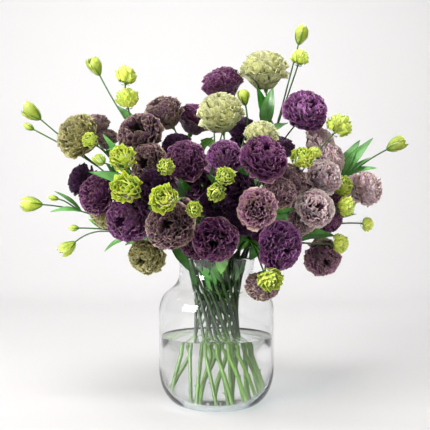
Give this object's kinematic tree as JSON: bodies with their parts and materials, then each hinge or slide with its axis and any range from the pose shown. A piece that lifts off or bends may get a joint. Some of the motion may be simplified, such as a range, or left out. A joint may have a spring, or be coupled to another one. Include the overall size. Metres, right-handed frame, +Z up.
{
  "type": "lisianthus bouquet in a glass vase",
  "caption": "Loose bunch of dark double lisianthus with green buds and leaves, its crossed stems standing in water in a clear round-shouldered glass vase.",
  "frame": {"origin": "centre of the vase's flat base, on the surface it stands on", "axes": "+Z up along the vase's axis, -Y towards the viewer of the picture, +X to the viewer's right"},
  "size_m": [0.6755, 0.4515, 0.6633],
  "materials": {
    "glass": "clear, polished",
    "water": "clear water",
    "stem_green": "satin leaf and stem",
    "petals_plum": "soft matt petals",
    "petals_purple": "soft matt petals",
    "petals_dark": "soft matt petals",
    "petals_mauve": "soft matt petals",
    "petals_lilac": "soft matt petals",
    "petals_olive": "soft matt petals",
    "petals_cream": "soft matt petals"
  },
  "bodies": {
    "root": {"back_bloom_1": "petals_purple", "back_left_bloom_1": "petals_mauve", "back_left_stem": "stem_green", "back_right_bloom_1": "petals_plum", "back_right_stem": "stem_green", "back_stem": "stem_green", "crown_right_bloom_1": "petals_purple", "crown_right_bloom_2": "petals_dark", "crown_right_stem": "stem_green", "front_high_bloom_1": "petals_plum", "front_high_bloom_2": "petals_purple", "front_high_stem": "stem_green", "front_left_high_bloom_1": "petals_plum", "front_left_high_bloom_2": "petals_dark", "front_left_high_stem": "stem_green", "front_left_low_bloom_1": "petals_mauve", "front_left_low_stem": "stem_green", "front_low_bloom_1": "petals_plum", "front_low_bloom_2": "petals_dark", "front_low_stem": "stem_green", "front_right_bloom_1": "petals_mauve", "front_right_bloom_2": "petals_mauve", "front_right_stem": "stem_green", "left_bloom_1": "petals_plum", "left_bloom_2": "petals_dark", "left_high_bloom_1": "petals_olive", "left_high_bloom_2": "petals_mauve", "left_high_bloom_3": "petals_mauve", "left_high_stem": "stem_green", "left_low_bloom_1": "petals_purple", "left_low_bloom_2": "petals_olive", "left_low_stem": "stem_green", "left_stem": "stem_green", "right_bloom_1": "petals_lilac", "right_far_bloom_1": "petals_lilac", "right_far_bloom_2": "petals_plum", "right_far_bloom_3": "petals_mauve", "right_far_stem": "stem_green", "right_high_bloom_1": "petals_lilac", "right_high_bloom_2": "petals_lilac", "right_high_stem": "stem_green", "right_low_bloom_1": "petals_purple", "right_low_bloom_2": "petals_mauve", "right_low_stem": "stem_green", "right_stem": "stem_green", "top_back_bloom_1": "petals_plum", "top_back_bloom_2": "petals_plum", "top_back_bloom_3": "petals_dark", "top_back_bloom_4": "petals_plum", "top_back_stem": "stem_green", "top_front_bloom_1": "petals_cream", "top_front_bloom_2": "petals_dark", "top_front_stem": "stem_green", "top_left_bloom_1": "petals_mauve", "top_left_stem": "stem_green", "top_right_bloom_1": "petals_cream", "top_right_bloom_2": "petals_cream", "top_right_stem": "stem_green", "vase": "glass", "water": "water"}
  },
  "joints": []
}
